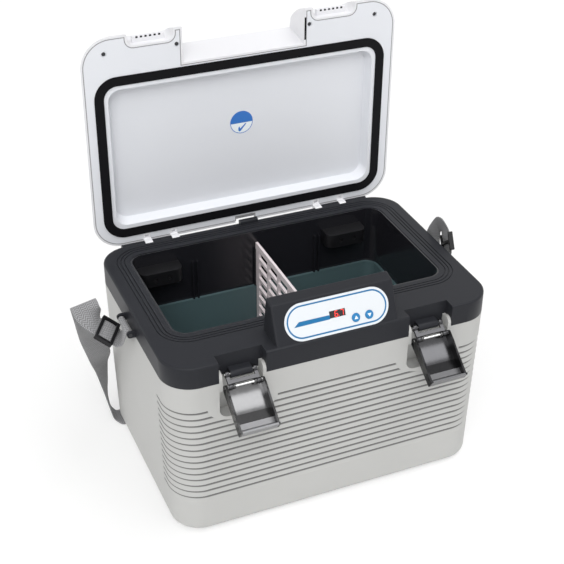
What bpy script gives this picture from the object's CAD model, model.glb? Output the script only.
"""Looks of an insulated vaccine carrier that stands with its lid open.

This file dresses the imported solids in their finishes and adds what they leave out: the woven strap,
the printed panel, the lit digits, the screw heads, the round film in the lid's dish, the marks between
the catch teeth and the seam round the lid's inner face. Lengths are metres; MM turns millimetres into
metres.
"""

from __future__ import annotations

import logging
import math
from dataclasses import dataclass, field
from enum import Enum
from functools import lru_cache
from typing import Iterable, Optional, Sequence, Union

import bmesh
import bpy
from mathutils import Matrix, Vector


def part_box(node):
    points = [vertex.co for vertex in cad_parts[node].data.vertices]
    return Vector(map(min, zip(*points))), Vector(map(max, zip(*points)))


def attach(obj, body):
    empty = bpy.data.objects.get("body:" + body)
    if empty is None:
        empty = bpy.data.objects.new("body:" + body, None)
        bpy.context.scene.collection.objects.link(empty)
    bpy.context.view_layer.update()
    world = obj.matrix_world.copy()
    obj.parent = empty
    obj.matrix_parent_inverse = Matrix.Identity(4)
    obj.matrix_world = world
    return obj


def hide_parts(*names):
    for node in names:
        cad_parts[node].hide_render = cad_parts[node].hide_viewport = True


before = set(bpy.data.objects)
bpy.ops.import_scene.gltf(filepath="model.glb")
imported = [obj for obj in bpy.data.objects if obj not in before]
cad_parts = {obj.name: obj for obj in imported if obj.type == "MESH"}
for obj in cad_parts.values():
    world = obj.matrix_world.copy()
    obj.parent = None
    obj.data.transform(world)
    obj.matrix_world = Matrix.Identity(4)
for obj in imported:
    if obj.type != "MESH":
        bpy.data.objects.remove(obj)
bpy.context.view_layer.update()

LOG = logging.getLogger("carrier")
MM = 0.001
PRINT_LIFT = 0.05 * MM  # printed film above what it is printed on
PRINT_THICK = 0.04 * MM
WELD_GAP = 0.002 * MM  # corners closer than this are one corner
SOFT_ANGLE = 40.0  # degrees; edges bent more than this are softened
MIX_INPUTS = (0, 6, 7)  # a colour Mix node's factor and its two colours
MIX_OUTPUT = 2

Colour = tuple[float, float, float, float]
Point = tuple[float, float, float]
Flat = tuple[float, float]
Edges = tuple[Point, Point]
Pair = tuple[Vector, Vector]
Facets = tuple[list[Vector], list[list[int]]]  # corners, and rings of corner numbers


WHITE: Colour = (1.0, 1.0, 1.0, 1.0)


def ink(red: int, green: int, blue: int) -> Colour:
    """Colour as it looks on a screen, 0 to 255 a channel, as linear light.

    Args:
        red: red channel.
        green: green channel.
        blue: blue channel.

    Returns:
        The linear colour with full opacity.
    """
    linear = []
    for channel in (red, green, blue):
        c = channel / 255
        linear.append(c / 12.92 if c <= 0.04045 else ((c + 0.055) / 1.055) ** 2.4)
    return linear[0], linear[1], linear[2], 1.0


def shade(colour: Colour, factor: float) -> Colour:
    """The colour, lighter or darker by a factor."""
    return tuple(min(1.0, c * factor) for c in colour[:3]) + (1.0,)


class Side(Enum):
    """Left and right as seen from the front, with the sign of X there."""

    LEFT = -1
    RIGHT = 1

    @property
    def word(self) -> str:
        """The side's name as the solids use it."""
        return self.name.lower()


# ---- shader benches ------------------------------------------------------------------------
class Signal:
    """A number that varies over a surface. Python operators on it add Math nodes."""

    def __init__(self, bench: Bench, socket: bpy.types.NodeSocket) -> None:
        """Wraps an output socket of a bench's tree."""
        self.bench = bench
        self.socket = socket

    def __add__(self, other: Number) -> Signal:
        """Sum."""
        return self.bench.maths("ADD", self, other)

    def __radd__(self, other: Number) -> Signal:
        """Sum, reflected."""
        return self.bench.maths("ADD", other, self)

    def __sub__(self, other: Number) -> Signal:
        """Difference."""
        return self.bench.maths("SUBTRACT", self, other)

    def __rsub__(self, other: Number) -> Signal:
        """Difference, reflected."""
        return self.bench.maths("SUBTRACT", other, self)

    def __mul__(self, other: Number) -> Signal:
        """Product."""
        return self.bench.maths("MULTIPLY", self, other)

    def __rmul__(self, other: Number) -> Signal:
        """Product, reflected."""
        return self.bench.maths("MULTIPLY", other, self)

    def __truediv__(self, other: Number) -> Signal:
        """Quotient."""
        return self.bench.maths("DIVIDE", self, other)

    def __pow__(self, other: Number) -> Signal:
        """Power."""
        return self.bench.maths("POWER", self, other)

    def __abs__(self) -> Signal:
        """Magnitude."""
        return self.bench.maths("ABSOLUTE", self)

    def at_most(self, limit: float) -> Signal:
        """The number, or the limit where it is over it."""
        return self.bench.maths("MINIMUM", self, limit)

    def at_least(self, limit: float) -> Signal:
        """The number, or the limit where it is under it."""
        return self.bench.maths("MAXIMUM", self, limit)

    def fraction(self) -> Signal:
        """What is left after whole numbers are taken away."""
        return self.bench.maths("FRACT", self)

    def sine(self) -> Signal:
        """Sine of the number in radians."""
        return self.bench.maths("SINE", self)

    def eased(self, low: float, high: float) -> Signal:
        """Smooth step from 0 at low to 1 at high.

        Args:
            low: where the step starts.
            high: where the step ends.

        Returns:
            The stepped number.
        """
        sockets = {"Value": self, "From Min": low, "From Max": high}
        step = self.bench.node("ShaderNodeMapRange", {"interpolation_type": "SMOOTHSTEP"}, sockets)
        return Signal(self.bench, step.outputs["Result"])


Number = Union[float, Signal]
Feed = Union[float, Sequence[float], Signal, bpy.types.NodeSocket]


class Bench:
    """A shader tree under construction."""

    def __init__(self, tree: bpy.types.NodeTree) -> None:
        """Starts on an emptied tree."""
        self.tree = tree
        tree.nodes.clear()

    def node(
        self,
        kind: str,
        settings: Optional[dict[str, object]] = None,
        sockets: Optional[dict[Union[str, int], Feed]] = None,
    ) -> bpy.types.Node:
        """Adds one node, sets it up and feeds its sockets.

        Args:
            kind: Blender's name of the node's type.
            settings: attributes of the node, set first.
            sockets: values or links by input name or number.

        Returns:
            The new node.
        """
        made = self.tree.nodes.new(kind)
        for name, value in (settings or {}).items():
            setattr(made, name, value)
        for key, value in (sockets or {}).items():
            self.feed(made.inputs[key], value)
        return made

    def feed(self, socket: bpy.types.NodeSocket, value: Feed) -> None:
        """Links a signal or socket to an input, or sets its value.

        Args:
            socket: the input.
            value: what goes in.
        """
        if isinstance(value, Signal):
            self.tree.links.new(value.socket, socket)
        elif isinstance(value, bpy.types.NodeSocket):
            self.tree.links.new(value, socket)
        else:
            socket.default_value = value

    def maths(self, operation: str, *values: Number) -> Signal:
        """One Math node.

        Args:
            operation: Blender's name of the operation.
            values: its operands in order.

        Returns:
            The result.
        """
        made = self.node("ShaderNodeMath", {"operation": operation}, dict(enumerate(values)))
        return Signal(self, made.outputs[0])

    def colours(self, factor: Number, start: Feed, end: Feed) -> bpy.types.NodeSocket:
        """Colour between two colours.

        Args:
            factor: 0 for start, 1 for end.
            start: first colour.
            end: second colour.

        Returns:
            The mixed colour's socket.
        """
        sockets = dict(zip(MIX_INPUTS, (factor, start, end)))
        return self.node("ShaderNodeMix", {"data_type": "RGBA"}, sockets).outputs[MIX_OUTPUT]

    def place(self, stretch: Point = (1.0, 1.0, 1.0)) -> bpy.types.NodeSocket:
        """The point on the piece in metres, each axis multiplied by its stretch."""
        here = self.node("ShaderNodeTexCoord").outputs["Object"]
        sockets = {0: here, 1: stretch}
        return self.node("ShaderNodeVectorMath", {"operation": "MULTIPLY"}, sockets).outputs[0]

    def axes(self, where: Feed) -> list[Signal]:
        """The three numbers of a point."""
        split = self.node("ShaderNodeSeparateXYZ", None, {0: where}).outputs
        return [Signal(self, socket) for socket in split]

    def noise(self, where: bpy.types.NodeSocket, size: float, detail: float = 3.0) -> Signal:
        """Cloudy noise about 0.5.

        Args:
            where: the point it is read at.
            size: width of one cloud in metres.
            detail: octaves of finer cloud.

        Returns:
            The noise, 0 to 1.
        """
        sockets = {"Vector": where, "Scale": 1 / size, "Detail": detail}
        return Signal(self, self.node("ShaderNodeTexNoise", None, sockets).outputs[0])

    def bump(self, height: Number, depth: float, strength: float = 1.0) -> bpy.types.NodeSocket:
        """Surface normal tilted by a height.

        Args:
            height: 0 to 1 over the surface.
            depth: how far 1 stands above 0, in metres.
            strength: share of the effect.

        Returns:
            The normal's socket.
        """
        sockets = {"Height": height, "Distance": depth, "Strength": strength}
        return self.node("ShaderNodeBump", None, sockets).outputs["Normal"]

    def surface(self, shader: bpy.types.NodeSocket) -> None:
        """Makes a shader the tree's surface."""
        self.node("ShaderNodeOutputMaterial", None, {"Surface": shader})

    def principled(self, **sockets: Feed) -> bpy.types.NodeSocket:
        """A Principled shader whose inputs are named with underscores for spaces."""
        named = {name.replace("_", " "): value for name, value in sockets.items()}
        return self.node("ShaderNodeBsdfPrincipled", None, named).outputs[0]


def new_material(name: str) -> tuple[bpy.types.Material, Bench]:
    """An empty material and its bench."""
    made = bpy.data.materials.new(name)
    made.use_nodes = True
    return made, Bench(made.node_tree)


# ---- finishes ------------------------------------------------------------------------------
class Finish:
    """What a piece is made of, as it can be made into a material."""

    name: str

    def material(self) -> bpy.types.Material:
        """The finish as a material."""
        made, bench = new_material(self.name)
        bench.surface(self.shader(bench))
        return made

    def shader(self, bench: Bench) -> bpy.types.NodeSocket:
        """The finish's shader, built on a bench."""
        raise NotImplementedError


@dataclass(frozen=True)
class Boards:
    """Where the shell's overlapping boards run, and the grime that gathers under each board's edge."""

    bottom: float = 53.0 * MM
    pitch: float = 9.9 * MM
    count: int = 15
    back: float = -97.0 * MM
    reach: float = 3.8 * MM
    patch_x: float = 131.3 * MM
    patch_half: float = 47.0 * MM
    patch_drop: float = 24.0 * MM
    line_blur: Flat = (0.08, 0.06)
    row_blur: float = 0.02
    back_blur: float = 1.5 * MM
    patch_blur: Flat = (0.98, 1.05)

    def grime(self, bench: Bench, where: bpy.types.NodeSocket) -> Signal:
        """How much grime a point of the shell holds.

        Args:
            bench: the finish's tree.
            where: the point on the shell.

        Returns:
            0 on a clean face, 1 under an edge.
        """
        x, y, z = bench.axes(where)
        boards = (z - self.bottom) / self.pitch
        clean = 1 - self.reach / self.pitch
        under = boards.fraction().eased(clean - self.line_blur[0], clean + self.line_blur[1])
        rows = boards.eased(0.0, self.row_blur) * (1 - boards.eased(self.count, self.count + self.row_blur))
        ahead = 1 - y.eased(self.back - self.back_blur, self.back)
        across = (abs(x) - self.patch_x) / self.patch_half
        down = (z - self.bottom - self.count * self.pitch) / self.patch_drop
        beside = (across * across + down * down).eased(*self.patch_blur)
        return under * rows * ahead * beside


@dataclass(frozen=True)
class Moulded(Finish):
    """Injection-moulded plastic with a spark-eroded grain and slow cloudiness."""

    name: str
    colour: Colour
    roughness: float = 0.5
    gloss_change: float = 0.06
    grain: float = 0.9 * MM
    grain_detail: float = 2.0
    relief: float = 0.02 * MM
    cloud: float = 60 * MM
    mottle: float = 0.04
    coat: float = 0.0
    shine: float = 0.5
    boards: Optional[Boards] = None
    grime: float = 0.68
    slow_share: float = 0.7
    coat_rough: float = 0.1

    def shader(self, bench: Bench) -> bpy.types.NodeSocket:
        """Grained plastic, with grime under the edges of its boards where it has any."""
        where = bench.place()
        slow = bench.noise(where, self.cloud)
        grain = bench.noise(where, self.grain, self.grain_detail)
        dark, light = shade(self.colour, 1 - self.mottle), shade(self.colour, 1 + self.mottle)
        colour = bench.colours(slow * self.slow_share + grain * (1 - self.slow_share), dark, light)
        if self.boards:
            dirt = shade(self.colour, 1 - self.grime)
            colour = bench.colours(self.boards.grime(bench, where), colour, dirt)
        return bench.principled(
            Base_Color=colour,
            Roughness=self.roughness + (slow - 0.5) * self.gloss_change + (grain - 0.5) * self.gloss_change,
            Normal=bench.bump(grain, self.relief),
            Specular_IOR_Level=self.shine,
            Coat_Weight=self.coat,
            Coat_Roughness=self.coat_rough,
        )


@dataclass(frozen=True)
class Steel(Finish):
    """Drawn or brushed metal with fine lines along one axis."""

    name: str
    colour: Colour
    roughness: float = 0.25
    lines: Point = (0.04, 1.0, 1.0)
    line_width: float = 0.4 * MM
    line_detail: float = 4.0
    line_depth: float = 0.01 * MM
    line_rough: float = 0.12
    stain: float = 12 * MM
    stain_dark: float = 0.92

    def shader(self, bench: Bench) -> bpy.types.NodeSocket:
        """Metal with streaks along its lines and slow stains."""
        streak = bench.noise(bench.place(self.lines), self.line_width, self.line_detail)
        stain = bench.noise(bench.place(), self.stain)
        return bench.principled(
            Base_Color=bench.colours(stain, shade(self.colour, self.stain_dark), self.colour),
            Metallic=1.0,
            Roughness=self.roughness + streak * self.line_rough,
            Normal=bench.bump(streak, self.line_depth),
        )


@dataclass(frozen=True)
class Plated(Finish):
    """Black chrome over a pressed tray: hollow up to its step, level past it, duller on its lip."""

    name: str
    colour: Colour
    lip: Colour
    foot: Point
    along: Point
    out: Point
    crest: float = 17.0 * MM
    step: float = 34.5 * MM
    nose: float = 47.2 * MM
    curve: float = 57.0 * MM
    rise: float = 0.31
    roughness: float = 0.2
    inside: float = 23.4 * MM
    plate: float = -9.8 * MM
    wall_dark: float = 0.22
    step_dark: float = 0.42
    lip_dull: float = 0.65
    lip_rough: float = 0.15
    smear: float = 6 * MM
    smear_rough: float = 0.12
    smear_tone: float = 0.1
    wide_blur: float = 0.4 * MM
    wall_blur: float = 0.3 * MM
    step_blur: float = 0.2 * MM

    def shader(self, bench: Bench) -> bpy.types.NodeSocket:
        """Plating whose relief and tones are read along the tray from its pin."""
        where = bench.place()
        reach, depth = (self._beyond(bench, where, way) for way in (self.along, self.out))
        hollow = reach.at_most(self.step) - self.crest
        height = hollow * hollow / (2 * self.curve)
        height = height + reach.at_least(self.step).at_most(self.nose) * self.rise
        smear = bench.noise(where, self.smear)
        wall = abs(bench.axes(where)[0] - self.foot[0]).eased(self.inside, self.inside + self.wall_blur)
        inner = depth.eased(self.plate, self.plate + self.wide_blur)
        lip = reach.eased(self.nose - self.wide_blur, self.nose + self.wide_blur) * (1 - wall) * inner
        past = reach.eased(self.step - self.step_blur, self.step + self.step_blur) * inner
        dark, light = shade(self.colour, 1 - self.smear_tone), shade(self.colour, 1 + self.smear_tone)
        tone = bench.colours(smear, dark, light)
        tone = bench.colours(past, tone, shade(self.colour, self.step_dark))
        tone = bench.colours(wall * inner, tone, shade(self.colour, self.wall_dark))
        return bench.principled(
            Base_Color=bench.colours(lip, tone, self.lip),
            Metallic=1 - lip * self.lip_dull,
            Roughness=self.roughness + (smear - 0.5) * self.smear_rough + lip * self.lip_rough,
            Normal=bench.bump(height, 1.0),
        )

    def _beyond(self, bench: Bench, where: bpy.types.NodeSocket, way: Point) -> Signal:
        """How far a point lies beyond the lever's pin along a direction."""
        run = bench.node("ShaderNodeVectorMath", {"operation": "DOT_PRODUCT"}, {0: where, 1: way})
        return Signal(bench, run.outputs["Value"]) - Vector(self.foot).dot(Vector(way))


@dataclass(frozen=True)
class Foamed(Finish):
    """Rigid foam with closed cells showing on its skin."""

    name: str
    colour: Colour
    cell: float = 1.6 * MM
    cell_depth: float = 0.3 * MM
    cell_dark: float = 0.82
    roughness: float = 0.85

    def shader(self, bench: Bench) -> bpy.types.NodeSocket:
        """Foam, darker towards the middle of each cell."""
        cells = bench.node("ShaderNodeTexVoronoi", None, {"Vector": bench.place(), "Scale": 1 / self.cell})
        wall = Signal(bench, cells.outputs["Distance"])
        return bench.principled(
            Base_Color=bench.colours(wall, shade(self.colour, self.cell_dark), self.colour),
            Roughness=self.roughness,
            Normal=bench.bump(wall, self.cell_depth),
        )


@dataclass(frozen=True)
class Webbing(Finish):
    """Woven strap: a herringbone twill between two plain selvedges."""

    name: str
    dark: Colour
    light: Colour
    width: float
    thread: float = 3.2 * MM
    chevron: float = 9.0 * MM
    selvedge: float = 2.6 * MM
    selvedge_blur: float = 0.85
    fuzz: float = 0.5 * MM
    wear: float = 22 * MM
    tones: Point = (0.62, 0.24, 0.14)
    relief: float = 0.25 * MM
    weave_relief: float = 0.8
    roughness: float = 0.88
    rib_shine: float = 0.08
    sheen: float = 0.25
    sheen_rough: float = 0.5

    def shader(self, bench: Bench) -> bpy.types.NodeSocket:
        """The weave, read from the strap's own lengths across and along."""
        uv = bench.node("ShaderNodeUVMap", {"uv_map": "weave"}).outputs[0]
        share, along, _ = bench.axes(uv)
        across = share * self.width
        folded = abs((across / self.chevron).fraction() - 0.5) * self.chevron
        ribs = ((folded + along) / self.thread).fraction()
        round_rib = (ribs * math.pi).sine()
        picks = ((along / (self.thread * 0.5)).fraction() * math.pi).sine()
        from_edge = self.width / 2 - abs(across - self.width / 2)
        edge = 1 - from_edge.eased(self.selvedge * self.selvedge_blur, self.selvedge)
        weave = round_rib * (1 - edge) + picks * edge
        fuzz = bench.noise(bench.place(), self.fuzz)
        slow = bench.noise(bench.place(), self.wear)
        tone = weave * self.tones[0] + fuzz * self.tones[1] + slow * self.tones[2]
        height = weave * self.weave_relief + fuzz * (1 - self.weave_relief)
        return bench.principled(
            Base_Color=bench.colours(tone, self.dark, self.light),
            Roughness=self.roughness - weave * self.rib_shine,
            Normal=bench.bump(height, self.relief),
            Sheen_Weight=self.sheen,
            Sheen_Roughness=self.sheen_rough,
        )


@dataclass(frozen=True)
class Printed(Finish):
    """Screen-printed ink with a slightly uneven lay."""

    name: str
    colour: Colour
    roughness: float = 0.42
    lay: float = 1.4 * MM
    mottle: float = 0.05
    gloss_change: float = 0.08

    def shader(self, bench: Bench) -> bpy.types.NodeSocket:
        """Ink with slow changes of tone."""
        lay = bench.noise(bench.place(), self.lay)
        dark, light = shade(self.colour, 1 - self.mottle), shade(self.colour, 1 + self.mottle)
        return bench.principled(
            Base_Color=bench.colours(lay, dark, light),
            Roughness=self.roughness + (lay - 0.5) * self.gloss_change,
        )


@dataclass(frozen=True)
class Lit(Finish):
    """Lit segments of a display."""

    name: str
    colour: Colour
    strength: float = 1.6
    cloud: float = 1.2 * MM
    dim: float = 0.8
    unlit: float = 0.3
    roughness: float = 0.4

    def shader(self, bench: Bench) -> bpy.types.NodeSocket:
        """A glow that is a little weaker in places."""
        glow = bench.noise(bench.place(), self.cloud)
        return bench.principled(
            Base_Color=shade(self.colour, self.unlit),
            Roughness=self.roughness,
            Emission_Color=bench.colours(glow, shade(self.colour, self.dim), self.colour),
            Emission_Strength=self.strength,
        )


@dataclass(frozen=True)
class Circuit(Finish):
    """Solder mask over copper tracks."""

    name: str
    mask: Colour
    track: Colour
    pitch: float = 2.5 * MM
    wander: float = 14 * MM
    stray: float = 3.0
    track_blur: Flat = (0.30, 0.36)
    track_shine: float = 0.1
    roughness: float = 0.4
    relief: float = 0.03 * MM

    def shader(self, bench: Bench) -> bpy.types.NodeSocket:
        """The board's face."""
        wander = bench.noise(bench.place(), self.wander)
        lanes = (bench.axes(bench.place())[0] / self.pitch + wander * self.stray).fraction()
        tracks = abs(lanes - 0.5).eased(*self.track_blur)
        return bench.principled(
            Base_Color=bench.colours(tracks, self.mask, self.track),
            Roughness=self.roughness - tracks * self.track_shine,
            Normal=bench.bump(tracks, self.relief),
        )


@lru_cache(maxsize=None)
def material_of(finish: Finish) -> bpy.types.Material:
    """The finish's material, made once."""
    return finish.material()


STRAP_WIDTH = 36 * MM

SHELL_GREY = Moulded("shell_grey", ink(181, 181, 179), 0.52, shine=0.4, boards=Boards())
COLLAR_CHARCOAL = Moulded("collar_charcoal", ink(41, 42, 46), 0.4, relief=0.03 * MM, shine=0.12)
LID_WHITE = Moulded("lid_white", ink(226, 226, 229), 0.4, mottle=0.012)
PANEL_WHITE = Moulded("lid_panel_white", ink(224, 226, 231), 0.36, mottle=0.012)
SEAL_BLACK = Moulded("seal_black", ink(14, 14, 17), 0.6, grain=0.5 * MM, mottle=0.1, shine=0.12)
LINER_BLACK = Moulded("liner_black", ink(27, 27, 31), 0.2, relief=0.01 * MM, mottle=0.08)
TUB_GREY = Moulded("tub_grey", ink(72, 92, 95), 0.35, mottle=0.05)
LATTICE_WHITE = Moulded("lattice_white", ink(218, 208, 210), 0.45, mottle=0.03)
BLACK_SATIN = Moulded("black_satin", ink(20, 20, 22), 0.36, mottle=0.1, shine=0.3)
BLACK_GLOSS = Moulded("black_gloss", ink(30, 30, 32), 0.2, relief=0.008 * MM, mottle=0.1, coat=1.0)
VENT_GREY = Moulded("vent_grey", ink(62, 63, 66), 0.5, mottle=0.05)
WINDOW_BLACK = Moulded("window_black", ink(22, 16, 20), 0.12, relief=0.0, mottle=0.05, coat=0.4)
BUTTON_BLUE = Moulded("button_blue", ink(28, 120, 176), 0.35, grain=0.4 * MM, mottle=0.04)
LABEL_WHITE = Moulded("label_white", ink(218, 222, 226), 0.34, grain=0.3 * MM, relief=0.006 * MM)
FOOT_RUBBER = Moulded("foot_rubber", ink(34, 34, 36), 0.8, grain=0.6 * MM, mottle=0.12)
LINK_STEEL = Steel("link_steel", ink(80, 80, 82), 0.26)
PIN_STEEL = Steel("pin_steel", ink(226, 226, 226), 0.14)
SCREW_DARK = Steel("screw_dark", ink(84, 84, 86), 0.42)
HINGE_STEEL = Steel("hinge_steel", ink(120, 120, 122), 0.5)
SINK_ALUMINIUM = Steel("sink_aluminium", ink(205, 207, 210), 0.34, lines=(1.0, 1.0, 0.04))
MODULE_CERAMIC = Moulded("module_ceramic", ink(236, 234, 226), 0.6, mottle=0.03)
FOAM_CREAM = Foamed("foam_cream", ink(226, 214, 186))
STRAP_GREY = Webbing("strap_grey", ink(22, 22, 24), ink(166, 166, 168), STRAP_WIDTH)
PRINT_BLUE = Printed("print_blue", ink(2, 104, 156))
PRINT_WHITE = Printed("print_white", ink(236, 242, 245))
STICKER_BLUE = Printed("sticker_blue", ink(52, 116, 196), 0.3)
SEAM_GREY = Printed("seam_grey", ink(148, 148, 151), 0.7)
DIGIT_RED = Lit("digit_red", ink(255, 62, 56))
CHROME_TONES = {
    Side.LEFT: (ink(112, 112, 113), ink(118, 118, 120)),
    Side.RIGHT: (ink(80, 80, 82), ink(84, 84, 86)),
}
BOARD_GREEN = Circuit("board_green", ink(22, 84, 52), ink(60, 130, 84))


# ---- dressing and building pieces ----------------------------------------------------------
def dress(node: str, finish: Finish, edge: float = 0.0) -> None:
    """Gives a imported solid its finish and, where asked, softened edges.

    Args:
        node: the solid's name.
        finish: what it is made of.
        edge: width of the softened edge in metres, or 0.
    """
    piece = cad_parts[node]
    for slot in piece.material_slots:
        slot.material = material_of(finish)
    if edge:
        weld = piece.modifiers.new("join", "WELD")
        weld.merge_threshold = WELD_GAP
        bevel = piece.modifiers.new("edge", "BEVEL")
        bevel.width = edge
        bevel.segments = 2
        bevel.limit_method = "ANGLE"
        bevel.angle_limit = math.radians(SOFT_ANGLE)
        bevel.harden_normals = False
    LOG.info("dressed %s in %s", node, finish.name)


def put_in_scene(name: str, data: bpy.types.ID) -> bpy.types.Object:
    """A new object of a mesh, lamp or camera, linked into the scene."""
    made = bpy.data.objects.new(name, data)
    bpy.context.scene.collection.objects.link(made)
    return made


def new_piece(
    name: str,
    facets: Facets,
    finish: Finish,
    body: str,
    smooth: Optional[float] = None,
) -> bpy.types.Object:
    """Makes a mesh piece that rides on a body.

    Args:
        name: the piece's name.
        facets: its corners in metres and its faces.
        finish: what it is made of.
        body: the body that it moves with.
        smooth: angle in degrees under which edges are shaded smooth, or None for flat faces.

    Returns:
        The new object.
    """
    mesh = bpy.data.meshes.new(name)
    shape = bmesh.new()
    points, rings = facets
    corners = [shape.verts.new(p) for p in points]
    for ring in rings:
        shape.faces.new([corners[i] for i in ring])
    bmesh.ops.recalc_face_normals(shape, faces=shape.faces)
    if smooth is not None:
        limit = math.radians(smooth)
        for face in shape.faces:
            face.smooth = True
        for edge in shape.edges:
            edge.smooth = len(edge.link_faces) == 2 and edge.calc_face_angle() < limit
    shape.to_mesh(mesh)
    shape.free()
    piece = put_in_scene(name, mesh)
    mesh.materials.append(material_of(finish))
    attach(piece, body)
    LOG.info("built %s on %s", name, body)
    return piece


def plate(outline: Sequence[Vector], lift: Vector) -> Facets:
    """Flat plate between an outline and its copy moved by lift.

    Args:
        outline: corners in order.
        lift: the plate's thickness as a vector.

    Returns:
        Corners and faces.
    """
    count = len(outline)
    points = list(outline) + [p + lift for p in outline]
    faces = [list(range(count)), [count + i for i in reversed(range(count))]]
    for i in range(count):
        j = (i + 1) % count
        faces.append([i, j, count + j, count + i])
    return points, faces


def plates(outlines: Iterable[Sequence[Vector]], lift: Vector) -> Facets:
    """Several flat plates as one mesh.

    Args:
        outlines: each plate's corners in order.
        lift: the plates' thickness as a vector.

    Returns:
        Corners and faces.
    """
    points: list[Vector] = []
    faces: list[list[int]] = []
    for outline in outlines:
        more, rings = plate(outline, lift)
        faces += [[i + len(points) for i in ring] for ring in rings]
        points += more
    return points, faces


def ring_plate(
    outside: Sequence[Vector], inside: Sequence[Vector], lift: Vector
) -> Facets:
    """Flat ring between two outlines with the same number of corners.

    Args:
        outside: outer corners in order.
        inside: inner corners in the same order.
        lift: the ring's thickness as a vector.

    Returns:
        Corners and faces.
    """
    count = len(outside)
    points = list(outside) + list(inside)
    points += [p + lift for p in points]
    faces = []
    for i in range(count):
        j = (i + 1) % count
        faces.append([i, j, count + j, count + i])
        faces.append([2 * count + i, 3 * count + i, 3 * count + j, 2 * count + j])
        faces.append([i, 2 * count + i, 2 * count + j, j])
        faces.append([count + i, count + j, 3 * count + j, 3 * count + i])
    return points, faces


def round_outline(width: float, height: float, radius: float, steps: int = 16) -> list[Flat]:
    """Rounded rectangle about the origin.

    Args:
        width: full width.
        height: full height.
        radius: corner radius.
        steps: runs in each corner's arc.

    Returns:
        Its corners, anticlockwise.
    """
    corners = []
    for quarter, (sx, sy) in enumerate(((1, 1), (-1, 1), (-1, -1), (1, -1))):
        cx, cy = sx * (width / 2 - radius), sy * (height / 2 - radius)
        for i in range(steps + 1):
            angle = (quarter + i / steps) * math.pi / 2
            corners.append((cx + radius * math.cos(angle), cy + radius * math.sin(angle)))
    return corners


@dataclass
class ScrewHead:
    """Pan head with a cross recess, about the origin and facing +Z."""

    radius: float = 3.0 * MM
    height: float = 1.9 * MM
    arm: float = 1.9 * MM
    slot: float = 0.75 * MM
    depth: float = 0.9 * MM
    rims: tuple[Flat, ...] = ((0.0, 1.0), (0.55, 1.0), (0.85, 0.9), (1.0, 0.72))
    steps: int = 40

    def mesh(self) -> bmesh.types.BMesh:
        """The head as a mesh.

        Returns:
            A new bmesh, which the caller frees.
        """
        shape = bmesh.new()
        loops = []
        for share, wide in self.rims:
            loops.append([shape.verts.new(self._rim(i, share, wide)) for i in range(self.steps)])
        for low, high in zip(loops, loops[1:]):
            for i in range(self.steps):
                j = (i + 1) % self.steps
                shape.faces.new((low[i], low[j], high[j], high[i]))
        top = self._cross(shape, self.height)
        floor = self._cross(shape, self.height - self.depth)
        count = len(top)
        for i in range(count):
            j = (i + 1) % count
            shape.faces.new((top[i], floor[i], floor[j], top[j]))
        shape.faces.new(floor)
        rim_edges = [e for e in shape.edges if all(v in loops[-1] for v in e.verts)]
        top_edges = [e for e in shape.edges if all(v in top for v in e.verts)]
        bmesh.ops.triangle_fill(shape, use_beauty=True, edges=rim_edges + top_edges)
        bmesh.ops.recalc_face_normals(shape, faces=shape.faces)
        return shape

    def _rim(self, i: int, share: float, wide: float) -> Vector:
        """Point of one round of the head's side."""
        angle = 2 * math.pi * i / self.steps
        r = self.radius * wide
        return Vector((r * math.cos(angle), r * math.sin(angle), self.height * share))

    def _cross(self, shape: bmesh.types.BMesh, z: float) -> list[bmesh.types.BMVert]:
        """Corners of the cross at one height, in order."""
        a, s = self.arm, self.slot / 2
        quarter = ((a, -s), (a, s), (s, s))
        corners = []
        for turn in range(4):
            c, n = math.cos(turn * math.pi / 2), math.sin(turn * math.pi / 2)
            corners += [shape.verts.new((c * x - n * y, n * x + c * y, z)) for x, y in quarter]
        return corners


# ---- sub-assemblies ------------------------------------------------------------------------
@dataclass
class LowerBody:
    """Ribbed shell, feet, vent, inlet and the foam inside."""

    edge: float = 0.4 * MM

    def build(self) -> None:
        """Dresses the lower body."""
        dress("lower_shell", SHELL_GREY)
        dress("feet", FOOT_RUBBER)
        dress("vent_grille", VENT_GREY, self.edge)
        dress("power_inlet", BLACK_SATIN, self.edge)
        dress("insulation", FOAM_CREAM)


@dataclass
class Collar:
    """Dark collar round the opening, with the sloping control housing."""

    edge: float = 0.5 * MM

    def build(self) -> None:
        """Dresses the collar."""
        dress("top_collar", COLLAR_CHARCOAL, self.edge)


@dataclass
class Chamber:
    """Liner, tub, divider and the two covers over the hinge fixings."""

    screw: ScrewHead = field(default_factory=ScrewHead)
    edge: float = 0.4 * MM

    def build(self) -> None:
        """Dresses the chamber and makes its screw heads."""
        dress("upper_liner", LINER_BLACK)
        dress("lower_tub", TUB_GREY)
        dress("divider", LATTICE_WHITE, self.edge)
        for side in Side:
            dress(f"hinge_cover_{side.word}", BLACK_SATIN, self.edge)
        seat_screws("hinge_cover_screws", "cover_screw_heads", "carrier", self.screw)


def seat_screws(node: str, name: str, body: str, screw: ScrewHead) -> None:
    """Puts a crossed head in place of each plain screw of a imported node.

    Args:
        node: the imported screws, which all face the front.
        name: name of the new piece.
        body: the body that they move with.
        screw: the head's sizes.
    """
    mesh = bpy.data.meshes.new(name)
    whole = bmesh.new()
    face_front = Matrix.Rotation(math.radians(90), 4, "X")
    for low, high in islands(node):
        middle = (low + high) / 2
        foot = Vector((middle.x, low.y + screw.height, middle.z))
        head = screw.mesh()
        head.transform(Matrix.Translation(foot) @ face_front)
        head.to_mesh(mesh)
        head.free()
        whole.from_mesh(mesh)
    whole.to_mesh(mesh)
    whole.free()
    piece = put_in_scene(name, mesh)
    mesh.materials.append(material_of(SCREW_DARK))
    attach(piece, body)
    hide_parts(node)
    LOG.info("built %s in place of %s", name, node)


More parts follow.
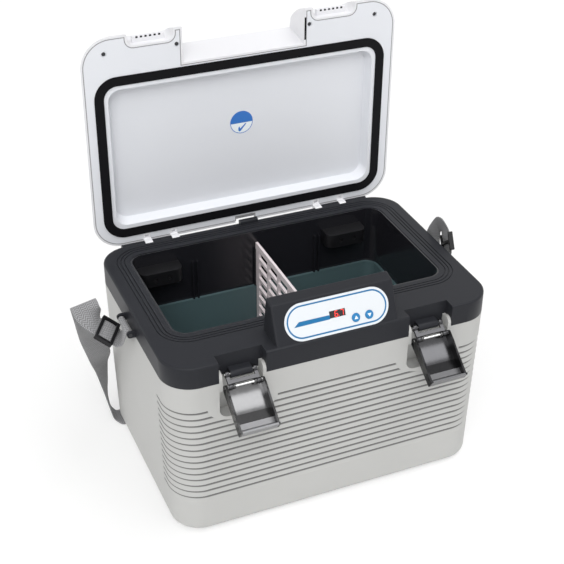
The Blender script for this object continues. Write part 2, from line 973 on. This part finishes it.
def islands(node: str) -> list[Pair]:
    """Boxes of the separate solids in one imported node.

    Args:
        node: the node's name.

    Returns:
        The lowest and highest corner of each solid.
    """
    shape = bmesh.new()
    shape.from_mesh(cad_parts[node].data)
    bmesh.ops.remove_doubles(shape, verts=shape.verts, dist=WELD_GAP)
    left = set(shape.verts)
    boxes = []
    while left:
        reached = {left.pop()}
        edge_of = list(reached)
        while edge_of:
            here = edge_of.pop()
            for edge in here.link_edges:
                other = edge.other_vert(here)
                if other not in reached:
                    reached.add(other)
                    edge_of.append(other)
        left -= reached
        corners = [v.co for v in reached]
        low = Vector([min(c[k] for c in corners) for k in range(3)])
        high = Vector([max(c[k] for c in corners) for k in range(3)])
        boxes.append((low, high))
    shape.free()
    return boxes


@dataclass
class CoolingUnit:
    """Cold plate, thermoelectric module, finned sink and fan in the front wall."""

    edge: float = 0.3 * MM

    def build(self) -> None:
        """Dresses the cooling unit."""
        dress("cold_plate", SINK_ALUMINIUM, self.edge)
        dress("thermoelectric_module", MODULE_CERAMIC)
        dress("heat_sink", SINK_ALUMINIUM)
        dress("fan_housing", BLACK_SATIN)
        dress("fan_wheel", BLACK_SATIN)


@dataclass
class PanelFace:
    """The control housing's sloping front."""

    foot: Flat = (-152.4 * MM, 270.0 * MM)
    brow: Flat = (-130.0 * MM, 317.5 * MM)

    def _slope(self) -> Flat:
        """Sine and cosine of the lean back from upright."""
        run, rise = self.brow[0] - self.foot[0], self.brow[1] - self.foot[1]
        length = math.hypot(run, rise)
        return run / length, rise / length

    def outward(self) -> Vector:
        """Direction straight out of the face."""
        lean, rise = self._slope()
        return Vector((0, -rise, lean))

    def at(self, x: float, up: float, lift: float = 0.0) -> Vector:
        """A point on or above the face.

        Args:
            x: place across.
            up: distance up the slope from its foot.
            lift: height above the face.

        Returns:
            The point.
        """
        lean, rise = self._slope()
        base = Vector((x, self.foot[0] + up * lean, self.foot[1] + up * rise))
        return base + self.outward() * lift


@dataclass
class ControlPanel:
    """Printed label, display and two buttons on the sloping front."""

    face: PanelFace = field(default_factory=PanelFace)
    label_centre: Flat = (1.5 * MM, 24.7 * MM)
    label_size: Flat = (144.0 * MM, 48.6 * MM)
    label_thick: float = 0.6 * MM
    line_inset: float = 3.0 * MM
    line_width: float = 2.0 * MM
    line_steps: int = 24
    line_flat: float = 0.01 * MM
    bar: tuple[Flat, ...] = ((-58.5, 19.6), (-9.0, 20.0), (-9.0, 25.4), (-51.0, 25.6))
    display: Flat = (1.8 * MM, 25.3 * MM)
    digit_size: Flat = (3.9 * MM, 7.2 * MM)
    digit_stroke: float = 0.95 * MM
    digit_lean: float = 0.1
    digits_at: Flat = (-1.5 * MM, 6.3 * MM)
    dot_place: float = 0.78
    bar_taper: float = 0.6
    bar_point: float = 0.2
    button_top: float = 1.8 * MM
    button_at: tuple[tuple[str, float, float, int], ...] = (("up", 26.0, 14.6, 1), ("down", 44.7, 14.5, -1))
    arrow: float = 5.4 * MM
    arrow_ends: Flat = (0.34, 0.5)

    def build(self) -> None:
        """Dresses the panel and prints its graphics."""
        dress("control_panel", LABEL_WHITE)
        dress("display_window", WINDOW_BLACK)
        dress("display_module", BLACK_SATIN)
        dress("circuit_board", BOARD_GREEN)
        for name, x, up, way in self.button_at:
            dress(f"button_{name}", BUTTON_BLUE)
            self._arrow(name, x * MM, up * MM, way)
        self._outline()
        self._bar()
        self._digits()

    def _print(self, name: str, flat: Sequence[Flat], lift: float, finish: Finish, body: str) -> None:
        """Prints one closed shape on the face.

        Args:
            name: the piece's name.
            flat: its corners as (across, up the slope).
            lift: height above the housing's face.
            finish: the ink.
            body: the body that it moves with.
        """
        outline = [self.face.at(x, up, lift) for x, up in flat]
        new_piece(name, plate(outline, self.face.outward() * PRINT_THICK), finish, body)

    def _outline(self) -> None:
        """Prints the line that follows the label's rim."""
        loops = []
        for inset in (self.line_inset, self.line_inset + self.line_width):
            width, height = (size - 2 * inset for size in self.label_size)
            flat = round_outline(width, height, height / 2 - self.line_flat, self.line_steps)
            x0, s0 = self.label_centre
            loops.append([self.face.at(x0 + x, s0 + s, self.label_thick + PRINT_LIFT) for x, s in flat])
        line = ring_plate(loops[0], loops[1], self.face.outward() * PRINT_THICK)
        new_piece("label_line", line, PRINT_BLUE, "carrier")

    def _bar(self) -> None:
        """Prints the tapered bar beside the display."""
        flat = [(x * MM, up * MM) for x, up in self.bar]
        self._print("label_bar", flat, self.label_thick + PRINT_LIFT, PRINT_BLUE, "carrier")

    def _arrow(self, name: str, x: float, up: float, way: int) -> None:
        """Prints the triangle on one button.

        Args:
            name: up or down.
            x: the button's place across.
            up: its place up the slope.
            way: 1 to point up, -1 to point down.
        """
        half = self.arrow / 2
        foot, tip = up - way * self.arrow * self.arrow_ends[0], up + way * self.arrow * self.arrow_ends[1]
        flat = [(x - half, foot), (x + half, foot), (x, tip)]
        lift = self.button_top + PRINT_LIFT
        self._print(f"arrow_{name}", flat, lift, PRINT_WHITE, f"button_{name}")

    def _digits(self) -> None:
        """Makes the lit segments of the reading, 6.7."""
        width, height = self.digit_size
        x0, s0 = self.display
        first, second = (x0 + place for place in self.digits_at)
        segments = self._segments("acdefg", first, s0) + self._segments("abc", second, s0)
        dot_x, dot_s, dot = first + width * self.dot_place, s0 - height / 2, self.digit_stroke
        corners = ((0, 0), (dot, 0), (dot, dot), (0, dot))
        segments.append([(dot_x + x, dot_s + s) for x, s in corners])
        lift = self.label_thick + PRINT_LIFT
        outlines = [[self.face.at(x, s, lift) for x, s in flat] for flat in segments]
        reading = plates(outlines, self.face.outward() * PRINT_THICK)
        new_piece("display_digits", reading, DIGIT_RED, "carrier")

    def _segments(self, lit: str, x: float, s: float) -> list[list[Flat]]:
        """Outlines of the lit bars of one digit.

        Args:
            lit: letters of the bars, a at the top and on clockwise, g across the middle.
            x: the digit's middle across.
            s: its middle up the slope.

        Returns:
            One outline for each bar.
        """
        w, h = self.digit_size[0] / 2, self.digit_size[1] / 2
        ends = {
            "a": ((-w, h), (w, h)),
            "b": ((w, h), (w, 0)),
            "c": ((w, 0), (w, -h)),
            "d": ((-w, -h), (w, -h)),
            "e": ((-w, 0), (-w, -h)),
            "f": ((-w, h), (-w, 0)),
            "g": ((-w, 0), (w, 0)),
        }
        shapes = []
        for letter in lit:
            (x0, s0), (x1, s1) = ends[letter]
            run = Vector((x1 - x0, s1 - s0))
            along = run.normalized() * self.digit_stroke * self.bar_taper
            across = Vector((-along.y, along.x)).normalized() * self.digit_stroke / 2
            a, b = Vector((x0, s0)), Vector((x1, s1))
            tips = (a + along * self.bar_point, a + along + across, b - along + across)
            back = (b - along * self.bar_point, b - along - across, a + along - across)
            bar = [(x + p.x + p.y * self.digit_lean, s + p.y) for p in tips + back]
            shapes.append(bar)
        return shapes


@dataclass
class Latch:
    """Link, lever, pins and spacers of one over-centre latch."""

    side: Side
    edge: float = 0.45 * MM
    lever_rest: float = 57.0

    def build(self) -> None:
        """Dresses the latch."""
        word = self.side.word
        dress(f"latch_link_{word}", LINK_STEEL, self.edge)
        dress(f"latch_lever_{word}", self._chrome(), self.edge)
        dress(f"latch_spacers_{word}", BLACK_GLOSS, self.edge)
        dress(f"latch_lever_pin_{word}", PIN_STEEL)
        dress(f"latch_pivot_pin_{word}", PIN_STEEL)

    def _chrome(self) -> Plated:
        """The lever's black chrome, darker on the right, laid along the hanging lever."""
        low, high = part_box(f"latch_lever_pin_{self.side.word}")
        lean = math.radians(self.lever_rest)
        along = (0.0, -math.sin(lean), -math.cos(lean))
        out = (0.0, -math.cos(lean), math.sin(lean))
        tone, lip = CHROME_TONES[self.side]
        return Plated(f"black_chrome_{self.side.word}", tone, lip, tuple((low + high) / 2), along, out)


@dataclass
class Lid:
    """Domed lid with its inner panel, gasket, catches and hinge clips."""

    screw: ScrewHead = field(
        default_factory=lambda: ScrewHead(radius=2.5 * MM, height=1.2 * MM, arm=1.6 * MM, depth=0.7 * MM))
    edge: float = 0.4 * MM
    hinge: Flat = (156.4 * MM, 265.0 * MM)
    disc_radius: float = 17.0 * MM
    disc_border: float = 0.9 * MM
    disc_split: float = -1.0 * MM
    disc_at: Flat = (0.0, 417.4 * MM)
    tick: tuple[Flat, ...] = (
        (-4.9, -8.4), (-4.0, -6.6), (-2.7, -6.7), (-2.2, -9.6), (6.0, -2.3), (7.1, -3.2), (-1.5, -13.2),
        (-3.2, -13.9), (-4.8, -12.4))
    film: float = 0.12 * MM
    film_share: float = 0.9
    gap_share: float = 0.8
    dish_depth: float = 15.0 * MM
    teeth: int = 7
    tooth_gap: Flat = (3.0 * MM, 2.4 * MM)
    disc_steps: int = 72
    panel_half: float = 223.2 * MM
    panel_front: float = -150.7 * MM
    panel_back: float = 151.7 * MM
    panel_corner: float = 37.6 * MM
    latch_notch: tuple[float, float, float, float] = (96.6 * MM, 166.0 * MM, -135.1 * MM, 12.0 * MM)
    hump_notch: Flat = (90.7 * MM, -101.1 * MM)
    stop_notch: Point = (-16.6 * MM, 13.6 * MM, 145.4 * MM)
    seam_width: float = 1.3 * MM
    seam_lift: float = 0.06 * MM
    slot_box: tuple[float, float, float, float] = (87.7 * MM, 90.2 * MM, -142.0 * MM, -110.0 * MM)

    def build(self) -> None:
        """Dresses the lid and makes its screw heads, tooth gaps, round film and seam."""
        dress("lid_outer_shell", LID_WHITE)
        dress("lid_inner_panel", PANEL_WHITE)
        dress("lid_foam", FOAM_CREAM)
        dress("lid_gasket", SEAL_BLACK)
        for side in Side:
            dress(f"lid_catch_{side.word}", LID_WHITE, self.edge)
        dress("hinge_clips", LID_WHITE, self.edge)
        dress("hinge_pins", HINGE_STEEL)
        seat_screws("lid_screws", "lid_screw_heads", "lid", self.screw)
        for side in Side:
            self._teeth(side)
        self._disc()
        self._seam()

    def _teeth(self, side: Side) -> None:
        """Darkens the gaps between the small teeth under one catch's ledge."""
        low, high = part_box(f"lid_catch_{side.word}")
        wide, deep = self.tooth_gap
        outlines = []
        for i in range(1, self.teeth):
            x = low.x + (high.x - low.x) * i / self.teeth
            corners = ((-1, 1), (1, 1), (1, 0), (-1, 0))
            outlines.append([Vector((x + dx * wide / 2, low.y - self.film, high.z - dz * deep))
                             for dx, dz in corners])
        gaps = plates(outlines, Vector((0, self.film * self.gap_share, 0)))
        new_piece(f"catch_gaps_{side.word}", gaps, SEAL_BLACK, "lid")

    def _disc(self) -> None:
        """Sticks the round film to the floor of the lid's dish: pale, with a blue upper half and a tick."""
        low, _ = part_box("lid_inner_panel")
        x0, z0 = self.disc_at
        y = low.y + self.dish_depth
        thick = Vector((0, self.film * self.film_share, 0))
        whole, inner = self.disc_radius, self.disc_radius - self.disc_border
        turns = [2 * math.pi * i / self.disc_steps for i in range(self.disc_steps)]
        layers = (("sticker", PRINT_WHITE, [(whole * math.cos(a), whole * math.sin(a)) for a in turns]),
                  ("sticker_half", STICKER_BLUE, arc_points(inner, self.disc_split, self.disc_steps)),
                  ("sticker_tick", STICKER_BLUE, [(x * MM, z * MM) for x, z in self.tick]))
        for layer, (name, finish, flat) in enumerate(layers):
            front = y - (layer + 1) * self.film
            outline = [Vector((x0 + x, front, z0 + z)) for x, z in flat]
            new_piece(name, plate(outline, thick), finish, "lid")
        loops = []
        for radius in (whole, inner):
            flat = [(x0 + radius * math.cos(a), z0 + radius * math.sin(a)) for a in turns]
            loops.append([Vector((x, y - 2 * self.film, z)) for x, z in flat])
        new_piece("sticker_rim", ring_plate(loops[0], loops[1], thick), STICKER_BLUE, "lid")

    def _shut(self, x: float, y: float, lift: float) -> Vector:
        """Where a point of the shut lid's lower face stands now that the lid is open.

        Args:
            x: place across.
            y: place from front to back with the lid shut.
            lift: distance out of the lower face.

        Returns:
            The point.
        """
        low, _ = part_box("lid_inner_panel")
        return Vector((x, low.y - lift, self.hinge[1] + self.hinge[0] - y))

    def _seam_path(self) -> list[Flat]:
        """Outline of the inner panel in the shut lid, round its three front notches and the stop at the back.

        Returns:
            Points from front to back and across, anticlockwise from above.
        """
        half, front, back, r = self.panel_half, self.panel_front, self.panel_back, self.panel_corner
        stop_left, stop_right, stop_deep = self.stop_notch
        path = arc_corner(half - r, back - r, r, 0)
        path += [(stop_right, back), (stop_right, stop_deep), (stop_left, stop_deep), (stop_left, back)]
        path += arc_corner(-half + r, back - r, r, 1)
        path += arc_corner(-half + r, front + r, r, 2)
        notch_in, notch_out, deep, n = self.latch_notch
        hump_half, hump_back = self.hump_notch
        left = [(-notch_out, front)] + arc_hollow(-notch_out + n, deep - n, n, 2)
        left += arc_hollow(-notch_in - n, deep - n, n, 1) + [(-notch_in, front)]
        left += [(-hump_half, front), (-hump_half, hump_back)]
        right = [(-x, y) for x, y in reversed(left)]
        return path + left + right + arc_corner(half - r, front + r, r, 3)

    def _seam(self) -> None:
        """Lays the shadow gap between the cover and the inner panel, and the slot beside the housing."""
        path = self._seam_path()
        loops = [offset_ring(path, side * self.seam_width / 2) for side in (1, -1)]
        lift = self.seam_lift
        outside, inside = ([self._shut(x, y, lift) for x, y in loop] for loop in loops)
        seam = ring_plate(outside, inside, Vector((0, lift, 0)))
        new_piece("lid_seam", seam, SEAM_GREY, "lid")
        x0, x1, y0, y1 = self.slot_box
        corners = [self._shut(x, y, lift) for x, y in ((x0, y0), (x1, y0), (x1, y1), (x0, y1))]
        new_piece("lid_slot", plate(corners, Vector((0, lift, 0))), SEAL_BLACK, "lid")


def arc_corner(x: float, y: float, radius: float, quarter: int, steps: int = 12) -> list[Flat]:
    """Quarter circle about a centre, anticlockwise from a quarter turn.

    Args:
        x: centre across.
        y: centre from front to back.
        radius: its radius.
        quarter: which quarter turn it starts at.
        steps: number of runs.

    Returns:
        Its points.
    """
    turns = [(quarter + i / steps) * math.pi / 2 for i in range(steps + 1)]
    return [(x + radius * math.cos(a), y + radius * math.sin(a)) for a in turns]


def arc_hollow(x: float, y: float, radius: float, quarter: int, steps: int = 6) -> list[Flat]:
    """Quarter circle like arc_corner, but walked clockwise."""
    return list(reversed(arc_corner(x, y, radius, quarter - 1, steps)))


def arc_points(radius: float, cut: float, steps: int) -> list[Flat]:
    """Part of a disc above a level line.

    Args:
        radius: the disc's radius.
        cut: height of the line over the disc's middle.
        steps: number of runs in the arc.

    Returns:
        Its outline.
    """
    start = math.asin(cut / radius)
    span = math.pi - 2 * start
    turns = [start + span * i / steps for i in range(steps + 1)]
    return [(radius * math.cos(a), radius * math.sin(a)) for a in turns]


def offset_ring(path: Sequence[Flat], distance: float) -> list[Flat]:
    """Closed path moved sideways by a distance, mitred at its corners.

    Args:
        path: points in order.
        distance: how far to the right of the way round.

    Returns:
        The moved points.
    """
    moved = []
    count = len(path)
    for i in range(count):
        before, here, after = (Vector(path[k % count]) for k in (i - 1, i, i + 1))
        come, leave = (here - before).normalized(), (after - here).normalized()
        side = Vector((come.y, -come.x)) + Vector((leave.y, -leave.x))
        side.normalize()
        share = max(0.5, side.dot(Vector((leave.y, -leave.x))))
        moved.append(tuple(here + side * (distance / share)))
    return moved


@dataclass
class Strap:
    """Woven strap from anchor to anchor under the base, with its buckles and bars."""

    width: float = STRAP_WIDTH
    thick: float = 1.4 * MM
    half_body: float = 227.5 * MM
    bar_out: float = 7.5 * MM
    bar_z: float = 246.0 * MM
    bar_radius: float = 2.5 * MM
    fit: float = 0.3 * MM
    reach: float = 11.0 * MM
    weave: float = 0.6 * MM
    floor_z: float = 1.1 * MM
    under_x: float = 221.0 * MM
    under_y: Flat = (101.0 * MM, 137.0 * MM)
    step: float = 3.0 * MM
    across: int = 8
    smooth: float = 50.0
    flat_share: float = 0.97
    selvedge: Flat = (0.995, 0.55)
    buckle_weave: tuple[tuple[float, int], ...] = ((-1.45, -1), (-1, -1), (0, 1), (1, -1), (1.45, -1))
    edge: float = 0.5 * MM
    left_buckle: tuple[Point, Point, Point] = (
        (28.0, 16.5, 232.3), (-0.51, -0.86, -0.03), (0.73, -0.42, -0.54))
    right_buckle: tuple[Point, Point, Point] = (
        (17.1, 3.0, 262.0), (-0.19, -0.78, 0.6), (-0.12, -0.62, -0.78))
    left_turn: tuple[Edges, ...] = (
        ((16.0, -15.0, 229.0), (5.0, 19.0, 231.0)),
        ((19.5, -12.5, 224.0), (6.5, 21.5, 225.0)),
        ((23.5, -9.5, 222.5), (9.0, 23.0, 223.0)),
    )
    left_run: tuple[Edges, ...] = (
        ((64.0, 36.0, 252.0), (32.0, 35.0, 260.0)),
        ((65.5, 39.0, 257.0), (32.5, 38.0, 265.0)),
        ((66.5, 45.0, 259.0), (33.0, 43.0, 267.5)),
        ((66.0, 52.0, 255.0), (32.5, 49.0, 264.5)),
        ((60.5, 64.0, 226.0), (26.0, 62.0, 236.0)),
        ((49.5, 89.0, 175.0), (14.5, 91.0, 181.0)),
        ((38.5, 98.5, 136.3), (4.1, 106.8, 134.9)),
        ((26.5, 110.0, 98.6), (2.0, 136.0, 96.0)),
        ((14.5, 118.0, 51.0), (1.0, 151.0, 50.0)),
        ((8.5, 120.0, 24.0), (2.0, 155.0, 24.0)),
        ((4.5, 114.0, 6.0), (1.0, 149.0, 6.0)),
        ((-0.5, 107.0, 2.0), (-2.0, 143.0, 2.0)),
    )
    right_run: tuple[Edges, ...] = (
        ((-1.0, 137.0, 2.0), (-1.0, 101.0, 2.0)),
        ((4.0, 137.0, 6.0), (4.0, 101.0, 6.0)),
        ((10.5, 134.0, 24.0), (10.5, 98.0, 24.0)),
        ((12.5, 116.0, 110.0), (14.5, 80.0, 107.0)),
        ((8.5, 74.0, 205.0), (16.5, 40.0, 193.0)),
        ((4.5, 46.0, 250.0), (19.5, 20.0, 228.0)),
        ((5.0, 33.0, 277.0), (20.0, 27.0, 246.0)),
        ((6.5, 20.0, 297.0), (19.5, 27.0, 264.0)),
        ((9.0, 8.0, 299.0), (19.5, 24.0, 269.0)),
    )
    left_wrap: tuple[int, ...] = (210, 170, 130, 90, 50, 15, -20)
    right_wrap: tuple[int, ...] = (-10, -50, -90, -130, -170, -210)

    def build(self) -> None:
        """Weaves the strap and dresses its buckles and bars."""
        for side in Side:
            dress(f"strap_buckle_{side.word}", BLACK_SATIN, self.edge)
            dress(f"strap_bar_{side.word}", SCREW_DARK)
        self._band()

    def _stations(self) -> list[Pair]:
        """Both edges of the webbing, from its left end to its right end.

        Returns:
            Pairs of points in metres.
        """
        pairs = self._round_bar(Side.LEFT, self.left_wrap)
        pairs += [self._beside(Side.LEFT, pair) for pair in self.left_turn]
        pairs += list(reversed(self._in_buckle(Side.LEFT, self.left_buckle)))
        pairs += [self._beside(Side.LEFT, pair) for pair in self.left_run]
        for x in (-self.under_x, self.under_x):
            pairs.append(tuple(Vector((x, y, self.floor_z)) for y in self.under_y))
        pairs += [self._beside(Side.RIGHT, pair)[::-1] for pair in self.right_run]
        pairs += [pair[::-1] for pair in self._in_buckle(Side.RIGHT, self.right_buckle)]
        pairs += [pair[::-1] for pair in self._round_bar(Side.RIGHT, self.right_wrap)]
        return pairs

    def _round_bar(self, side: Side, angles: Sequence[int]) -> list[Pair]:
        """Webbing edges round one anchor's bar.

        Args:
            side: which anchor.
            angles: degrees round the bar, from its outer side up.

        Returns:
            Pairs of points.
        """
        radius = self.bar_radius + self.thick / 2 + self.fit
        x = side.value * (self.half_body + self.bar_out)
        pairs = []
        for angle in angles:
            a = math.radians(angle)
            at_x, at_z = x + side.value * radius * math.cos(a), self.bar_z + radius * math.sin(a)
            pairs.append(tuple(Vector((at_x, y * self.width / 2, at_z)) for y in (-1, 1)))
        return pairs

    def _beside(self, side: Side, places: Sequence[Point]) -> tuple[Vector, ...]:
        """Points beside the body.

        Args:
            side: which side.
            places: millimetres out from the side, from front to back and up.

        Returns:
            The points in metres.
        """
        return tuple(Vector((side.value * (self.half_body + x * MM), y * MM, z * MM)) for x, y, z in places)

    def _in_buckle(self, side: Side, where: tuple[Point, Point, Point]) -> list[Pair]:
        """Webbing edges through a buckle, under its side bars and over its middle bar.

        Args:
            side: which side the buckle hangs on.
            where: the buckle's middle in millimetres, the way its bars run and the way to the anchor.

        Returns:
            Pairs of points, from the far side to the anchor's side.
        """
        centre = self._beside(side, where[:1])[0]
        along, towards = (Vector(v) for v in where[1:])
        along.normalize()
        up = along.cross(towards).normalized()
        on = up.cross(along)
        pairs = []
        for place, lift in self.buckle_weave:
            middle = centre + on * (place * self.reach) + up * (lift * self.weave)
            pairs.append((middle + along * self.width / 2, middle - along * self.width / 2))
        return pairs

    def _smooth(self) -> list[Pair]:
        """The stations with even, smoothly curved steps between them."""
        pairs = self._stations()
        made = []
        for i in range(len(pairs) - 1):
            around = [pairs[min(max(k, 0), len(pairs) - 1)] for k in (i - 1, i, i + 1, i + 2)]
            gap = ((around[2][0] + around[2][1]) - (around[1][0] + around[1][1])).length / 2
            runs = max(2, round(gap / self.step))
            for k in range(runs):
                made.append(tuple(eased_point([p[e] for p in around], k / runs) for e in (0, 1)))
        made.append(pairs[-1])
        return made

    def _section(self) -> list[Flat]:
        """Outline across the webbing: flat faces and rounded selvedges, as shares of half its sizes."""
        flat = [(-1 + 2 * i / self.across) * self.flat_share for i in range(self.across + 1)]
        upper = [(x, 1.0) for x in flat]
        lower = [(x, -1.0) for x in reversed(flat)]
        u, v = self.selvedge
        return upper + [(u, v), (u, -v)] + lower + [(-u, -v), (-u, v)]

    def _band(self) -> None:
        """Builds the webbing with its lengths across and along as texture places."""
        section = self._section()
        stations = self._smooth()
        middles = [(a + b) / 2 for a, b in stations]
        points: list[Vector] = []
        travelled = [0.0]
        for i, (a, b) in enumerate(stations):
            run = middles[min(i + 1, len(middles) - 1)] - middles[max(i - 1, 0)]
            side = (b - a).normalized()
            lift = run.cross(side).normalized()
            for u, v in section:
                points.append(middles[i] + side * (u * self.width / 2) + lift * (v * self.thick / 2))
            if i:
                travelled.append(travelled[-1] + (middles[i] - middles[i - 1]).length)
        count = len(section)
        faces: list[list[int]] = [list(range(count))]
        for i in range(len(stations) - 1):
            for k in range(count):
                j = (k + 1) % count
                base = i * count
                faces.append([base + k, base + j, base + count + j, base + count + k])
        last = (len(stations) - 1) * count
        faces.append([last + k for k in reversed(range(count))])
        piece = new_piece("strap_webbing", (points, faces), STRAP_GREY, "carrier", self.smooth)
        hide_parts("strap")
        layer = piece.data.uv_layers.new(name="weave")
        for loop in piece.data.loops:
            ring, k = divmod(loop.vertex_index, count)
            layer.data[loop.index].uv = ((section[k][0] + 1) / 2, travelled[ring])
        LOG.info("strap is %.0f mm long", travelled[-1] / MM)


def eased_point(around: Sequence[Vector], share: float, slack: float = 0.38, most: float = 1.2) -> Vector:
    """Point on the smooth curve through four points, between the middle two.

    Args:
        around: the four points in order.
        share: 0 at the second point, 1 at the third.
        slack: share of the outer chords that the curve's tangents take.
        most: the longest tangent, as a multiple of the middle chord.

    Returns:
        The point.
    """
    before, start, end, after = around
    t, u = share, 1 - share
    leave = (end - before) * slack
    arrive = (after - start) * slack
    reach = (end - start).length
    for tangent in (leave, arrive):
        if tangent.length > most * reach:
            tangent.length = most * reach
    place = start * (u * u * (1 + 2 * t)) + end * (t * t * (3 - 2 * t))
    return place + leave * (t * u * u) - arrive * (t * t * u)


# ---- studio --------------------------------------------------------------------------------
@dataclass
class Lamp:
    """One wide, soft and distant lamp."""

    name: str
    towards: Point
    strength: float
    spread: float

    def build(self) -> None:
        """Hangs the lamp so that it shines from its direction."""
        data = bpy.data.lights.new(self.name, "SUN")
        data.energy = self.strength
        data.angle = math.radians(self.spread)
        lamp = put_in_scene(self.name, data)
        lamp.location = Vector(self.towards) * 2
        lamp.rotation_euler = (-Vector(self.towards)).to_track_quat("-Z", "Y").to_euler()


@dataclass
class Studio:
    """Pale floor, soft lamps and the camera."""

    floor_size: float = 14.0
    floor_cells: int = 8
    floor_glow: float = 0.5
    floor_drop: float = 0.5 * MM
    floor_rough: float = 0.9
    floor_colour: Colour = (0.93, 0.93, 0.925, 1.0)
    world_light: float = 0.45
    lamps: tuple[Lamp, ...] = (
        Lamp("top_lamp", (0.33, -0.18, 0.93), 1.05, 40.0),
        Lamp("front_lamp", (-0.29, -0.6, 0.72), 1.6, 34.0),
        Lamp("side_lamp", (-0.88, -0.18, 0.44), 0.5, 50.0),
    )
    camera_place: Point = (-0.5727, -1.2929, 1.1617)
    azimuth: float = -23.412
    elevation: float = 32.639
    roll: float = 0.508
    lens: float = 78.70
    clip: Flat = (0.05, 50.0)

    def build(self) -> None:
        """Sets the stage."""
        self._floor()
        self._world()
        for lamp in self.lamps:
            lamp.build()
        self._camera()
        bpy.context.scene.view_settings.view_transform = "Standard"
        LOG.info("studio set with %d lamps", len(self.lamps))

    def _seen_directly(self, bench: Bench) -> Signal:
        """1 for what the camera, metal and glass see, 0 for what lights the object."""
        rays = bench.node("ShaderNodeLightPath").outputs
        seen = Signal(bench, rays["Is Camera Ray"]) + Signal(bench, rays["Is Glossy Ray"])
        seen = seen + Signal(bench, rays["Is Transmission Ray"])
        return bench.maths("MINIMUM", seen, 1.0)

    def _floor(self) -> None:
        """Lays the pale floor, which keeps a soft shadow."""
        made, bench = new_material("studio_floor")
        matt = bench.principled(Base_Color=self.floor_colour, Roughness=self.floor_rough)
        glow = bench.node("ShaderNodeEmission", None, {"Color": WHITE}).outputs[0]
        share = self._seen_directly(bench) * self.floor_glow
        mix = bench.node("ShaderNodeMixShader", None, {0: share, 1: matt, 2: glow})
        bench.surface(mix.outputs[0])
        mesh = bpy.data.meshes.new("studio_floor")
        shape = bmesh.new()
        cells, half = self.floor_cells, self.floor_size / 2
        bmesh.ops.create_grid(shape, x_segments=cells, y_segments=cells, size=half)
        shape.to_mesh(mesh)
        shape.free()
        mesh.materials.append(made)
        floor = put_in_scene("studio_floor", mesh)
        floor.location.z = -self.floor_drop

    def _world(self) -> None:
        """Lights the object evenly and shows white behind it."""
        world = bpy.data.worlds.new("studio")
        bpy.context.scene.world = world
        world.use_nodes = True
        bench = Bench(world.node_tree)
        strength = self._seen_directly(bench) * (1 - self.world_light) + self.world_light
        sockets = {"Color": WHITE, "Strength": strength}
        sky = bench.node("ShaderNodeBackground", None, sockets)
        bench.node("ShaderNodeOutputWorld", None, {"Surface": sky.outputs[0]})

    def _camera(self) -> None:
        """Sets up the camera."""
        az, el, roll = (math.radians(a) for a in (self.azimuth, self.elevation, self.roll))
        back = Vector((math.sin(az) * math.cos(el), -math.cos(az) * math.cos(el), math.sin(el)))
        right = Vector((math.cos(az), math.sin(az), 0))
        up = back.cross(right)
        turned_right = right * math.cos(roll) + up * math.sin(roll)
        turned_up = up * math.cos(roll) - right * math.sin(roll)
        data = bpy.data.cameras.new("camera")
        data.lens = self.lens
        data.clip_start, data.clip_end = self.clip
        camera = put_in_scene("camera", data)
        turn = Matrix((turned_right, turned_up, back)).transposed().to_4x4()
        camera.matrix_world = Matrix.Translation(self.camera_place) @ turn
        bpy.context.scene.camera = camera


def write_sizes() -> None:
    """Keeps the solids' box and the dressed box as plain lists."""
    bpy.context.view_layer.update()


def main() -> None:
    """Builds every sub-assembly in order, then the studio."""
    logging.basicConfig(level=logging.INFO, format="%(message)s")
    latches = [Latch(side) for side in Side]
    for part in (LowerBody(), Collar(), Chamber(), CoolingUnit(), ControlPanel(), *latches, Lid(), Strap()):
        part.build()
        LOG.info("%s done", type(part).__name__)
    Studio().build()
    write_sizes()


if __name__ == "__main__":
    main()
